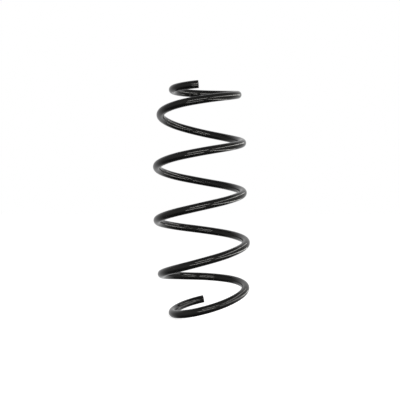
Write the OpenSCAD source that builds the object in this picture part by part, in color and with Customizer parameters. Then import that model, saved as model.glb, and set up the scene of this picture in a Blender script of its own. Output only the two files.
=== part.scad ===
// Suspension coil spring, wound from one round bar.
// Millimetres, +Z up. The origin is on the axis of the lower end coil, level with the bar's lowest point.

/* [Bar] */
// Diameter of the bar with its coating
wire_d = 12.5; // [9:0.5:14]
// Number of turns from one cut end to the other
turns = 5.455; // [4:0.005:6.5]
// Direction in which the lower end lies, in degrees from +X
start_angle = 98; // [0:1:359]

/* [Coil] */
// Mean diameter halfway along the coil
coil_d = 138; // [120:1:150]
// What the mean diameter loses with each turn upwards
taper = 2; // [0:0.1:4]
// Rise of one turn in the free coil
pitch = 82.5; // [60:0.5:95]
// Radius to which the coil's axis is bowed, its middle towards -X
bow_r = 1800; // [1500:50:4000]
// Height at which the bowed axis stands upright
bow_mid = 238; // [150:1:300]

/* [Lower end] */
// Mean diameter at the lower end
lower_d = 107.5; // [100:0.5:138]
// Number of turns over which the coil opens out to its full diameter
lower_turns = 1.6; // [1:0.1:2]
// Height of the bar's centre line at the lower end
start_z = 8.05; // [6:0.05:20]
// Rise at the lower end, as a share of the full rise
lower_rise = 0.2; // [0:0.05:1]
// Number of turns over which the rise grows to its full rate
lower_ease = 1.2; // [0.5:0.1:2]
// Slope of the end coil towards +X, in degrees
lower_tilt_x = 5; // [0:0.5:8]
// Slope of the end coil towards +Y, in degrees
lower_tilt_y = 10.5; // [0:0.5:12]

/* [Upper end] */
// Mean diameter at the upper end
upper_d = 90; // [80:1:138]
// Number of turns over which the coil closes in
upper_turns = 1.6; // [1:0.1:2]
// Number of turns before the upper end at which the rise starts to fall
upper_ease = 1.2; // [0.5:0.1:2]
// Number of turns before the upper end at which the bar runs level
upper_flat = 0.13; // [0:0.01:0.4]
// Slope of the end coil towards +X, in degrees
upper_tilt_x = 9; // [0:0.5:12]
// Slope of the end coil towards +Y, in degrees
upper_tilt_y = 2; // [0:0.5:6]

/* [Hidden] */
$fn = 96;
// The coil is a chain of flat bends of this many degrees, which stays within 1.5 mm of the line given below
bend_angle = 45;
// A flat bend climbs faster than a helix does over the same swing, so the bends start less steeply by this share
bend_rise = bend_angle / 2 * PI / 180 / tan(bend_angle / 2);
// One bend never takes more turns than this
bend_reach = 0.2;
// Step of the slope measurement, in turns
slope_step = 0.0001;
// The bends are drawn in metres and enlarged once, which keeps the joints between them seamless
metre = 1000;

function unit(v) = v / norm(v);

// How far something has come after u turns, if its rate grows evenly from 0 at a to 1 at b
function run_up(a, b, u) =
  let (t = min(max((u - a) / (b - a), 0), 1))
  (b - a) * t * t / 2 + max(u - b, 0);

// Closeness to the lower and the upper end: 1 at the end, 0 from where the end zone is over
function near_lower(u) = min(max(1 - u / lower_turns, 0), 1);
function near_upper(u) = min(max(1 - (turns - u) / upper_turns, 0), 1);
function smooth(t) = t * t * (3 - 2 * t);

// Mean radius of the coil after u turns
function coil_r(u) =
  (coil_d - taper * (u - turns / 2)
    - (coil_d - lower_d) * smooth(near_lower(u))
    - (coil_d - upper_d) * pow(near_upper(u), 1.5)) / 2;

// Height of the coil's axis after u turns
lower_lead = lower_ease * lower_rise / (1 - lower_rise);
function axis_z(u) =
  start_z + pitch * (run_up(-lower_lead, lower_ease, u) - run_up(turns - upper_ease, turns - upper_flat, u));

// Sideways place of the bowed axis at a height
function axis_x(z) = (pow(z - bow_mid, 2) - pow(bow_mid, 2)) / (2 * bow_r);

// How steeply the plane of the turn lies towards +X and towards +Y
function tilt(u) = [
  (bow_mid - axis_z(u)) / bow_r + tan(lower_tilt_x) * pow(near_lower(u), 2) + tan(upper_tilt_x) * smooth(near_upper(u)),
  tan(lower_tilt_y) * pow(near_lower(u), 2) + tan(upper_tilt_y) * smooth(near_upper(u))
];

// Centre line of the bar after u turns
function line(u) =
  let (
    angle = start_angle + 360 * u,
    round = coil_r(u) * [cos(angle), sin(angle)],
    z = axis_z(u)
  )
  [axis_x(z) + round.x, round.y, z + tilt(u) * round];

// Direction in which the bar leaves a bend after u turns
function direction(u) =
  let (d = line(u + slope_step) - line(u - slope_step))
  unit([d.x, d.y, d.z * bend_rise]);

// Turns at which the direction has swung through a whole bend from the direction start
function bend_end(start, low, high, passes = 30) =
  let (mid = (low + high) / 2)
  passes == 0 ? mid
  : direction(mid) * start > cos(bend_angle) ? bend_end(start, mid, high, passes - 1)
  : bend_end(start, low, mid, passes - 1);

// Direction from the bar to the centre of a bend between two directions
function inward(start, end) = unit(end - (start * end) * start);

// The bends from u turns on: radius, roll about the bar and angle of each.
// start is the direction there, and side points to the centre of the bend before
function bends(u, start, side) =
  let (
    last = turns - u < bend_reach && direction(turns) * start >= cos(bend_angle),
    v = last ? turns : bend_end(start, u, u + bend_reach),
    end = direction(v),
    angle = last ? acos(start * end) : bend_angle,
    centre = inward(start, end),
    radius = norm(line(v) - line(u)) / (2 * sin(angle / 2)),
    roll = atan2(cross(side, centre) * start, side * centre)
  )
  concat([[radius, roll, angle]], last ? [] : bends(v, end, cos(angle) * centre - sin(angle) * start));

first = direction(0);
first_side = inward(first, direction(bend_end(first, 0, bend_reach)));
bar = bends(0, first, first_side);

// Bend number i and all that follow it, in metres. The bar starts along +Y and bends towards -X
module bends_from(i) {
  radius = bar[i][0] / metre;
  angle = bar[i][2];
  rotate([0, bar[i][1], 0]) translate([-radius, 0, 0]) {
    rotate_extrude(angle = angle) translate([radius, 0]) circle(d = wire_d / metre);
    if (i < len(bar) - 1) rotate([0, 0, angle]) translate([radius, 0, 0]) bends_from(i + 1);
  }
}

module spring() {
  x = -first_side;
  z = cross(x, first);
  start = line(0);
  place = [
    [x.x, first.x, z.x, start.x],
    [x.y, first.y, z.y, start.y],
    [x.z, first.z, z.z, start.z],
    [0, 0, 0, 1]
  ];
  color([0.1, 0.1, 0.11]) multmatrix(place) scale(metre) bends_from(0);
}

spring();
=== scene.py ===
"""Looks of a suspension spring: one coiled steel bar in a black baked coating, upright on a white ground."""

import math

import bmesh
import bpy
import numpy as np
from mathutils import Matrix, Vector, noise


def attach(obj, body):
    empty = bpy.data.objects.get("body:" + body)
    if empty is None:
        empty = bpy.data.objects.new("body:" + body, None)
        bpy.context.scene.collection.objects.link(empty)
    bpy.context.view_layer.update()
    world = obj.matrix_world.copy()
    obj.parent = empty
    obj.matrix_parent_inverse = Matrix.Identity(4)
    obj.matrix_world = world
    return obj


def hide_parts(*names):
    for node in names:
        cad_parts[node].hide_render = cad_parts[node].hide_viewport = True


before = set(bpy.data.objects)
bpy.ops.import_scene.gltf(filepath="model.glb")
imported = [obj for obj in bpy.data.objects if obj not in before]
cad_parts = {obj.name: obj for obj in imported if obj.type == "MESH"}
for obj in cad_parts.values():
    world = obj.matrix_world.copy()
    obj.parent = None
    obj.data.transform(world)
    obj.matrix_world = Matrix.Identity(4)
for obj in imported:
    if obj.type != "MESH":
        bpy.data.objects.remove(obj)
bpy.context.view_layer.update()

# The bar and its coil, with the solid's own sizes, in metres, degrees and turns
MM = 0.001
BAR_D = 12.5 * MM
TURNS = 5.455
START_ANGLE = 98
COIL_D = 138 * MM
TAPER = 2 * MM
PITCH = 82.5 * MM
BOW_R = 1800 * MM
BOW_MID = 238 * MM
LOWER_D = 107.5 * MM
LOWER_TURNS = 1.6
START_Z = 8.05 * MM
LOWER_RISE = 0.2
LOWER_EASE = 1.2
LOWER_TILT = (5, 10.5)
UPPER_D = 90 * MM
UPPER_TURNS = 1.6
UPPER_EASE = 1.2
UPPER_FLAT = 0.13
UPPER_TILT = (9, 2)

# The solid's bar is a chain of flat bends. A flat bend climbs faster than a helix does over the same swing,
# so the bends start less steeply by the share BEND_RISE. None takes more turns than BEND_REACH, and where
# each ends is found by halving that reach, with the slope measured over a small step in turns
BEND = math.radians(45)
BEND_RISE = BEND / 2 / math.tan(BEND / 2)
BEND_REACH = 0.2
BEND_PASSES = 30
SLOPE_STEP = 0.0001

# How finely the bar is meshed: steps along each bend, sides round it, steps over the rounding of a rim,
# and how many roundings from the cut the even steps begin
STEPS_PER_BEND = 20
SIDES = 64
RIM_STEPS = 6
EVEN_FROM = 3

# The cut ends: rounding of the rim, rings of the face as shares of its radius, and how deep the face is
# hollow. Tears make up a share of the hollow. They have a size, a noise, given as its roughness, lacunarity
# and octaves, and a seed for each end
RIM_ROUND = 0.7 * MM
FACE_RINGS = (0.93, 0.84, 0.72, 0.58, 0.43, 0.28, 0.14)
HOLLOW = 0.22 * MM
HOLLOW_IN_MIDDLE = 0.5
TORN_SHARE = 0.45
TEAR_SIZE = 2.2 * MM
TEAR_NOISE = (0.8, 2.1, 4)
TEAR_SEEDS = (3.1, 7.4)

# The coating's relief: its full height, and how much of that each unevenness takes
RELIEF = 0.018 * MM
PEEL_RELIEF = 0.9
GRIT_RELIEF = 0.06
RUN_RELIEF = 0.5
SHEAR_RELIEF = 3
# The clean coat's roughness, and what dull patches, runs and worn places add to it
COAT_ROUGH = 0.05
PATCH_ROUGH = 0.04
RUN_ROUGH = 0.02
WORN_ROUGH = 0.3
COAT_IOR = 1.5
# The coat's two tones, each with the value of the patches at which it is full, and the thin coat on the rims
TONES = ((0.3, (0.0035, 0.0036, 0.0038, 1)), (0.7, (0.0060, 0.0060, 0.0058, 1)))
THIN_COAT = (0.035, 0.034, 0.032, 1)
# Wear at the ends: how deep the cut's own finish goes, how far along the bar the rim's wear reaches,
# from which share of the bar's radius it starts, how patchy it is, and over which values it comes in
CUT_DEPTH = 0.3 * MM
WEAR_REACH = 1.6 * MM
WEAR_FROM = 0.86
WEAR_PATCHES = 0.9
WEAR_EDGE = (0.45, 0.85)

# The photo's camera: level, at half the spring's height
PICTURE = 400
HORIZON_ROW = 195.6
CAMERA_PLACE = (-15.1 * MM, -1124.1 * MM, 193 * MM)
CAMERA_LENS = 63
CAMERA_SENSOR = 36
CAMERA_NEAR = 10 * MM

# The studio: the ground, the plain light from all round, and the light strips. One pair is ahead, one to the
# right, and a dimmer one goes on from there to the rear. Each strip has the place of its two ends, its width
# and its brightness, of which white is 1
SPRING_MIDDLE = Vector((-0.015, 0, 0.19))
GROUND_REACH = 6
GROUND_GREY = 0.8
GROUND_LIFT = 0.8
SKY = 0.3
LIGHT_TINT = (1, 0.99, 0.95)
STRIPS = {
    "front_top": ((-0.34, -0.56, 0.42), (0.16, -0.56, 0.42), 0.05, 12),
    "front_low": ((-0.27, -0.44, 0.01), (0.12, -0.44, 0.01), 0.04, 10.5),
    "side_top": ((0.37, -0.69, 0.42), (0.37, 0.1, 0.42), 0.05, 9.5),
    "side_low": ((0.285, -0.55, 0.03), (0.285, 0.08, 0.03), 0.04, 9.5),
    "rear_top": ((0.37, 0.1, 0.42), (0.37, 0.42, 0.42), 0.05, 4.5),
    "rear_low": ((0.285, 0.08, 0.03), (0.285, 0.32, 0.03), 0.04, 4.5),
}
# The studio in the gloss: how bright its walls are from straight down, -1, to straight up, 1, and how bright
# the backdrop behind the object is, with the slants to the back and upwards over which it comes in
WALLS = ((-1, 0.02), (-0.7, 0.07), (-0.45, 0.22), (-0.2, 0.36), (0.4, 0.36), (0.75, 0.22), (1, 0.2))
BACKDROP = 0.7
BACKDROP_EDGE = (0.2, 0.7)
BACKDROP_FOOT = (-0.9, -0.5)

# The outputs of Light Path that are used
CAMERA_RAY, GLOSSY_RAY, TRANSMITTED_RAY = 0, 3, 6


def run_up(a, b, u):
    """How far something has come after u turns, if its rate grows evenly from 0 at a to 1 at b."""
    t = min(max((u - a) / (b - a), 0), 1)
    return (b - a) * t * t / 2 + max(u - b, 0)


def near_lower(u):
    """Closeness to the lower end: 1 there, and 0 where the coil has opened out."""
    return min(max(1 - u / LOWER_TURNS, 0), 1)


def near_upper(u):
    """Closeness to the upper end: 1 there, and 0 where the coil starts to close in."""
    return min(max(1 - (TURNS - u) / UPPER_TURNS, 0), 1)


def smooth(t):
    return t * t * (3 - 2 * t)


def coil_radius(u):
    closing_in = (COIL_D - LOWER_D) * smooth(near_lower(u)) + (COIL_D - UPPER_D) * near_upper(u) ** 1.5
    return (COIL_D - TAPER * (u - TURNS / 2) - closing_in) / 2


def axis_height(u):
    lead = LOWER_EASE * LOWER_RISE / (1 - LOWER_RISE)
    rise = run_up(-lead, LOWER_EASE, u) - run_up(TURNS - UPPER_EASE, TURNS - UPPER_FLAT, u)
    return START_Z + PITCH * rise


def axis_offset(z):
    """Sideways place of the bowed axis at a height."""
    return ((z - BOW_MID) ** 2 - BOW_MID**2) / (2 * BOW_R)


def tilt(u):
    """How steeply the plane of the turn lies towards +X and towards +Y."""
    lower, upper = near_lower(u) ** 2, smooth(near_upper(u))
    end_x, end_y = (
        math.tan(math.radians(low)) * lower + math.tan(math.radians(high)) * upper
        for low, high in zip(LOWER_TILT, UPPER_TILT)
    )
    return (BOW_MID - axis_height(u)) / BOW_R + end_x, end_y


def line_at(u):
    """The centre line of the bar after u turns."""
    angle = math.radians(START_ANGLE + 360 * u)
    x, y = coil_radius(u) * math.cos(angle), coil_radius(u) * math.sin(angle)
    z = axis_height(u)
    slope_x, slope_y = tilt(u)
    return Vector((axis_offset(z) + x, y, z + slope_x * x + slope_y * y))


def direction_at(u):
    """The direction in which the bar leaves a bend after u turns."""
    d = line_at(u + SLOPE_STEP) - line_at(u - SLOPE_STEP)
    return Vector((d.x, d.y, d.z * BEND_RISE)).normalized()


def bend_end(start, low, high):
    """The turns at which the direction has swung through a whole bend."""
    for _ in range(BEND_PASSES):
        mid = (low + high) / 2
        if direction_at(mid).dot(start) > math.cos(BEND):
            low = mid
        else:
            high = mid
    return (low + high) / 2


def flat_bends():
    """The bends of the bar's chain: start, direction there, direction of the centre, radius and angle."""
    u, place, start = 0, line_at(0), direction_at(0)
    while u < TURNS:
        last = TURNS - u < BEND_REACH and direction_at(TURNS).dot(start) >= math.cos(BEND)
        v = TURNS if last else bend_end(start, u, u + BEND_REACH)
        end = direction_at(v)
        angle = math.acos(start.dot(end)) if last else BEND
        centre = (end - start.dot(end) * start).normalized()
        radius = (line_at(v) - line_at(u)).length / (2 * math.sin(angle / 2))
        yield place, start, centre, radius, angle
        place = place + radius * (math.sin(angle) * start + (1 - math.cos(angle)) * centre)
        u, start = v, end


def bar_line():
    """Points along the bar, closer together where the rims of its cut ends are rounded, and its length."""
    chain = list(flat_bends())
    lengths = [radius * angle for *_, radius, angle in chain]
    total = sum(lengths)
    rim = [RIM_ROUND * (1 - math.cos(math.pi / 2 * i / RIM_STEPS)) for i in range(RIM_STEPS + 1)]
    even = np.linspace(EVEN_FROM * RIM_ROUND, total - EVEN_FROM * RIM_ROUND, STEPS_PER_BEND * len(chain))
    points = []
    for s in [*rim, *even, *(total - r for r in reversed(rim))]:
        i = 0
        while i < len(chain) - 1 and s > lengths[i]:
            s -= lengths[i]
            i += 1
        place, start, centre, radius, _ = chain[i]
        a = s / radius
        points.append(place + radius * (math.sin(a) * start + (1 - math.cos(a)) * centre))
    return points, total


class Socket:
    """An output of a node tree, on which Python's arithmetic adds Math nodes."""

    def __init__(self, nodes, output):
        self.nodes, self.output = nodes, output

    def maths(self, operation, *values):
        return self.nodes.add("ShaderNodeMath", {"operation": operation}, dict(enumerate(values)))[0]

    def __add__(self, other):
        return self.maths("ADD", self, other)

    def __sub__(self, other):
        return self.maths("SUBTRACT", self, other)

    def __rsub__(self, other):
        return self.maths("SUBTRACT", other, self)

    def __mul__(self, other):
        return self.maths("MULTIPLY", self, other)

    def __truediv__(self, other):
        return self.maths("DIVIDE", self, other)

    def __pow__(self, other):
        return self.maths("POWER", self, other)

    __radd__ = __add__
    __rmul__ = __mul__

    def least(self, other):
        return self.maths("MINIMUM", self, other)

    def most(self, other):
        return self.maths("MAXIMUM", self, other)

    def ramp(self, start, end):
        """0 before start, 1 after end, and even between them."""
        inputs = {"Value": self, "From Min": start, "From Max": end}
        return self.nodes.add("ShaderNodeMapRange", {"clamp": True}, inputs)[0]


class Nodes:
    """Adds nodes to a tree, each from its type, its settings and the values or links of its sockets."""

    def __init__(self, tree):
        self.tree = tree
        tree.nodes.clear()

    def add(self, kind, settings=None, inputs=None):
        node = self.tree.nodes.new(kind)
        for name, value in (settings or {}).items():
            if name == "stops":
                self.set_stops(node.color_ramp, value)
            elif name == "items":
                for item, kind_of_item in value.items():
                    node.capture_items.new(kind_of_item, item)
            else:
                setattr(node, name, value)
        for name, value in (inputs or {}).items():
            if isinstance(value, Socket):
                self.tree.links.new(value.output, node.inputs[name])
            else:
                node.inputs[name].default_value = value
        return [Socket(self, output) for output in node.outputs if output.enabled]

    def mix_colours(self, share, first, second):
        return self.add("ShaderNodeMix", {"data_type": "RGBA"}, {0: share, 6: first, 7: second})[0]

    def mix_shaders(self, share, first, second):
        return self.add("ShaderNodeMixShader", {}, {0: share, 1: first, 2: second})[0]

    @staticmethod
    def set_stops(ramp, stops):
        while len(ramp.elements) < len(stops):
            ramp.elements.new(1)
        for element, (place, colour) in zip(ramp.elements, stops):
            element.position, element.color = place, colour


def grey(value):
    return (value, value, value, 1)


def new_material(name):
    material = bpy.data.materials.new(name)
    material.use_nodes = True
    return material, Nodes(material.node_tree)


def black_coating(length):
    """Baked black paint on shot-blasted steel: fine orange peel and faint runs along the bar.

    On the cut ends of a bar of this length it is dull over the marks of the shears, and thin on the rims."""
    material, nodes = new_material("black_coating")
    place = nodes.add("ShaderNodeAttribute", {"attribute_name": "bar_place"})[1]
    in_mm = nodes.add("ShaderNodeVectorMath", {"operation": "SCALE"}, {0: place, "Scale": 1 / MM})[0]

    def cloud(per_mm, detail, stretch=(1, 1, 1)):
        vector = nodes.add("ShaderNodeVectorMath", {"operation": "MULTIPLY"}, {0: in_mm, 1: stretch})[0]
        inputs = {"Vector": vector, "Scale": per_mm, "Detail": detail}
        return nodes.add("ShaderNodeTexNoise", {"noise_dimensions": "3D"}, inputs)[0]

    radius = BAR_D / 2
    x, y, along = nodes.add("ShaderNodeSeparateXYZ", {}, {0: place})
    from_end = along.least(length - along)
    cut = 1 - from_end.ramp(0, CUT_DEPTH)
    outermost = (x * x + y * y).ramp((WEAR_FROM * radius) ** 2, radius**2)
    rim = outermost * (1 - from_end.ramp(CUT_DEPTH, WEAR_REACH))

    peel = cloud(per_mm=0.75, detail=2)
    grit = cloud(per_mm=3.2, detail=3)
    runs = cloud(per_mm=0.7, detail=2, stretch=(1, 1, 0.04))
    patches = cloud(per_mm=0.06, detail=3)
    shear_marks = cloud(per_mm=1.1, detail=3, stretch=(0.25, 2.2, 1))
    flaking = cloud(per_mm=0.9, detail=4) - 0.5
    worn = (rim + WEAR_PATCHES * flaking).ramp(*WEAR_EDGE)

    on_cut = cut * (shear_marks * SHEAR_RELIEF + grit)
    height = peel * PEEL_RELIEF + grit * GRIT_RELIEF + runs * RUN_RELIEF + on_cut
    bump = nodes.add("ShaderNodeBump", {}, {"Strength": 1, "Distance": RELIEF, "Height": height})[0]
    roughness = COAT_ROUGH + PATCH_ROUGH * patches + RUN_ROUGH * runs + WORN_ROUGH * cut.most(worn)
    tone = nodes.add("ShaderNodeValToRGB", {"stops": TONES}, {0: patches})[0]
    tone = nodes.mix_colours(worn, tone, THIN_COAT)
    inputs = {"Base Color": tone, "Roughness": roughness, "Normal": bump, "IOR": COAT_IOR}
    shader = nodes.add("ShaderNodeBsdfPrincipled", {}, inputs)[0]
    nodes.add("ShaderNodeOutputMaterial", {}, {"Surface": shader})
    return material


def white_ground():
    """A pale ground that the camera sees as white, with the object's shadow on it."""
    material, nodes = new_material("ground")
    path = nodes.add("ShaderNodeLightPath")
    seen = path[CAMERA_RAY].most(path[GLOSSY_RAY]).most(path[TRANSMITTED_RAY])
    pale = nodes.add("ShaderNodeBsdfDiffuse", {}, {"Color": grey(GROUND_GREY)})[0]
    lift = nodes.add("ShaderNodeEmission", {}, {"Color": grey(1), "Strength": GROUND_LIFT})[0]
    white = nodes.add("ShaderNodeAddShader", {}, {0: pale, 1: lift})[0]
    nodes.add("ShaderNodeOutputMaterial", {}, {"Surface": nodes.mix_shaders(seen, pale, white)})
    return material


def bar_sweep():
    """Geometry Nodes that sweep the round section along the bar's line and close it with a cap at each end.

    Each point keeps its place on the bar as if that were straight: across in X and Y, along in Z."""
    tree = bpy.data.node_groups.new("bar_sweep", "GeometryNodeTree")
    sizes = {"Bar radius": "Float", "Rim round": "Float", "Sides": "Int", "Finish": "Material"}
    for name, kind in {"Line": "Geometry", **sizes}.items():
        tree.interface.new_socket(name, in_out="INPUT", socket_type="NodeSocket" + kind)
    tree.interface.new_socket("Bar", in_out="OUTPUT", socket_type="NodeSocketGeometry")
    nodes = Nodes(tree)
    line, radius, rim, sides, finish = nodes.add("NodeGroupInput")[:5]

    # The section draws in where the rim is rounded, along a quarter of a circle
    along = nodes.add("GeometryNodeSplineParameter")[1]
    total = nodes.add("GeometryNodeSplineLength")[0]
    short_of_full = (1 - along.least(total - along) / rim).most(0)
    share = 1 - rim * (1 - (1 - short_of_full * short_of_full).most(0) ** 0.5) / radius

    captured = {"items": {"Along": "FLOAT"}}
    rail, along_kept = nodes.add("GeometryNodeCaptureAttribute", captured, {0: line, 1: along})[:2]
    circle = nodes.add("GeometryNodeCurvePrimitiveCircle", {}, {"Resolution": sides, "Radius": radius})[0]
    across = nodes.add("GeometryNodeInputPosition")[0]
    captured = {"items": {"Across": "VECTOR"}}
    section, across_kept = nodes.add("GeometryNodeCaptureAttribute", captured, {0: circle, 1: across})[:2]
    inputs = {"Curve": rail, "Profile Curve": section, "Scale": share, "Fill Caps": True}
    bar = nodes.add("GeometryNodeCurveToMesh", {}, inputs)[0]

    x, y, _ = nodes.add("ShaderNodeSeparateXYZ", {}, {0: across_kept})
    place = nodes.add("ShaderNodeCombineXYZ", {}, {"X": x, "Y": y, "Z": along_kept})[0]
    stored = {"data_type": "FLOAT_VECTOR", "domain": "POINT"}
    inputs = {"Geometry": bar, "Name": "bar_place", "Value": place}
    bar = nodes.add("GeometryNodeStoreNamedAttribute", stored, inputs)[0]
    bar = nodes.add("GeometryNodeRealizeInstances", {}, {"Geometry": bar})[0]
    bar = nodes.add("GeometryNodeSetMaterial", {}, {"Geometry": bar, "Material": finish})[0]
    nodes.add("NodeGroupOutput", {}, {0: bar})
    return tree


def sheared_end(mesh, cap):
    """Turn a flat cap into a sheared face: rings from the rim to the middle, slightly hollow and torn."""
    place = mesh.verts.layers.float_vector["bar_place"]
    rim = [loop.vert for loop in cap.loops]
    normal = cap.normal.copy()
    middle = cap.calc_center_median()
    along = rim[0][place].z
    seed = TEAR_SEEDS[along > BAR_D]
    mesh.faces.remove(cap)
    outer = rim
    for share in FACE_RINGS:
        ring = []
        for vert in rim:
            spot = middle.lerp(vert.co, share)
            across = Vector((vert[place].x, vert[place].y, 0)) * share
            torn = noise.fractal(Vector((*(across / TEAR_SIZE).xy, seed)), *TEAR_NOISE)
            inward = HOLLOW * (1 - share**2) * (1 - TORN_SHARE + TORN_SHARE * torn)
            new = mesh.verts.new(spot - normal * max(inward, 0))
            new[place] = Vector((across.x, across.y, along))
            ring.append(new)
        for i, vert in enumerate(rim):
            j = (i + 1) % len(rim)
            mesh.faces.new((outer[i], outer[j], ring[j], ring[i]))
        outer = ring
    centre = mesh.verts.new(middle - normal * HOLLOW * HOLLOW_IN_MIDDLE)
    centre[place] = Vector((0, 0, along))
    for i in range(len(outer)):
        mesh.faces.new((outer[i], outer[(i + 1) % len(outer)], centre))


def coiled_bar():
    """The spring: the bar's line, swept by the tree into a closed skin, as one plain mesh."""
    points, total = bar_line()
    curve = bpy.data.curves.new("bar_line", "CURVE")
    curve.dimensions = "3D"
    spline = curve.splines.new("POLY")
    spline.points.add(len(points) - 1)
    spline.points.foreach_set("co", [c for point in points for c in (*point, 1)])
    line = bpy.data.objects.new("bar_line", curve)
    bpy.context.scene.collection.objects.link(line)

    tree = bar_sweep()
    finish = black_coating(total)
    values = {"Bar radius": BAR_D / 2, "Rim round": RIM_ROUND, "Sides": SIDES, "Finish": finish}
    sweep = line.modifiers.new("bar_sweep", "NODES")
    sweep.node_group = tree
    for socket in tree.interface.items_tree:
        if socket.name in values:
            sweep[socket.identifier] = values[socket.name]
    depsgraph = bpy.context.evaluated_depsgraph_get()
    mesh = bpy.data.meshes.new_from_object(line.evaluated_get(depsgraph), depsgraph=depsgraph)
    line.modifiers.remove(sweep)
    bpy.data.objects.remove(line)

    skin = bmesh.new()
    skin.from_mesh(mesh)
    # All faces but the two caps have four corners
    for cap in [face for face in skin.faces if len(face.verts) > 4]:
        sheared_end(skin, cap)
    bmesh.ops.recalc_face_normals(skin, faces=skin.faces)
    for face in skin.faces:
        face.smooth = True
    skin.to_mesh(mesh)
    skin.free()
    mesh.name = "coiled_bar"
    bar = bpy.data.objects.new("coiled_bar", mesh)
    bpy.context.scene.collection.objects.link(bar)
    return bar


def floor():
    mesh = bpy.data.meshes.new("ground")
    skin = bmesh.new()
    bmesh.ops.create_grid(skin, x_segments=1, y_segments=1, size=GROUND_REACH)
    skin.to_mesh(mesh)
    skin.free()
    mesh.materials.append(white_ground())
    sheet = bpy.data.objects.new("ground", mesh)
    bpy.context.scene.collection.objects.link(sheet)
    sheet.visible_glossy = False


def light_strip(name, start, end, width, radiance):
    """A long rectangular lamp turned to the spring. The camera doesn't see it, and the gloss does."""
    start, end = Vector(start), Vector(end)
    lamp = bpy.data.lights.new(name, "AREA")
    lamp.shape = "RECTANGLE"
    lamp.size, lamp.size_y = (end - start).length, width
    lamp.color = LIGHT_TINT
    # A flat lamp's power is its brightness times its area times pi
    lamp.energy = radiance * math.pi * lamp.size * lamp.size_y
    middle, along = (start + end) / 2, (end - start).normalized()
    away = middle - SPRING_MIDDLE
    away = (away - away.dot(along) * along).normalized()
    strip = bpy.data.objects.new(name, lamp)
    turn = Matrix((along, away.cross(along), away)).transposed().to_4x4()
    strip.matrix_world = Matrix.Translation(middle) @ turn
    strip.visible_camera = False
    bpy.context.scene.collection.objects.link(strip)


def surroundings():
    """White round about for the camera, grey studio walls for the gloss, and plain light."""
    world = bpy.data.worlds.new("surroundings")
    bpy.context.scene.world = world
    world.use_nodes = True
    nodes = Nodes(world.node_tree)
    outwards = nodes.add("ShaderNodeTexCoord")[0]
    _, back, height = nodes.add("ShaderNodeSeparateXYZ", {}, {0: outwards})
    stops = [(h / 2 + 0.5, (*(level * tint for tint in LIGHT_TINT), 1)) for h, level in WALLS]
    walls = nodes.add("ShaderNodeValToRGB", {"stops": stops}, {0: height * 0.5 + 0.5})[0]
    behind = back.ramp(*BACKDROP_EDGE) * height.ramp(*BACKDROP_FOOT)
    walls = nodes.mix_colours(behind, walls, grey(BACKDROP))
    plain = nodes.add("ShaderNodeBackground", {}, {"Color": grey(1), "Strength": SKY})[0]
    studio = nodes.add("ShaderNodeBackground", {}, {"Color": walls, "Strength": 1})[0]
    white = nodes.add("ShaderNodeBackground", {}, {"Color": grey(1), "Strength": 1})[0]
    path = nodes.add("ShaderNodeLightPath")
    unseen = nodes.mix_shaders(path[GLOSSY_RAY], plain, studio)
    shader = nodes.mix_shaders(path[CAMERA_RAY].most(path[TRANSMITTED_RAY]), unseen, white)
    nodes.add("ShaderNodeOutputWorld", {}, {"Surface": shader})


def camera():
    lens = bpy.data.cameras.new("camera")
    lens.lens = CAMERA_LENS
    lens.sensor_width = CAMERA_SENSOR
    lens.shift_y = (HORIZON_ROW - PICTURE / 2) / PICTURE
    lens.clip_start = CAMERA_NEAR
    view = bpy.data.objects.new("camera", lens)
    view.location = CAMERA_PLACE
    # Unturned it looks straight down, and a quarter turn makes it level
    view.rotation_euler = (math.radians(90), 0, 0)
    bpy.context.scene.collection.objects.link(view)
    bpy.context.scene.camera = view


bar = coiled_bar()
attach(bar, "root")
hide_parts("spring")
floor()
for strip_name, strip in STRIPS.items():
    light_strip(strip_name, *strip)
surroundings()
camera()
bpy.context.scene.view_settings.view_transform = "Standard"
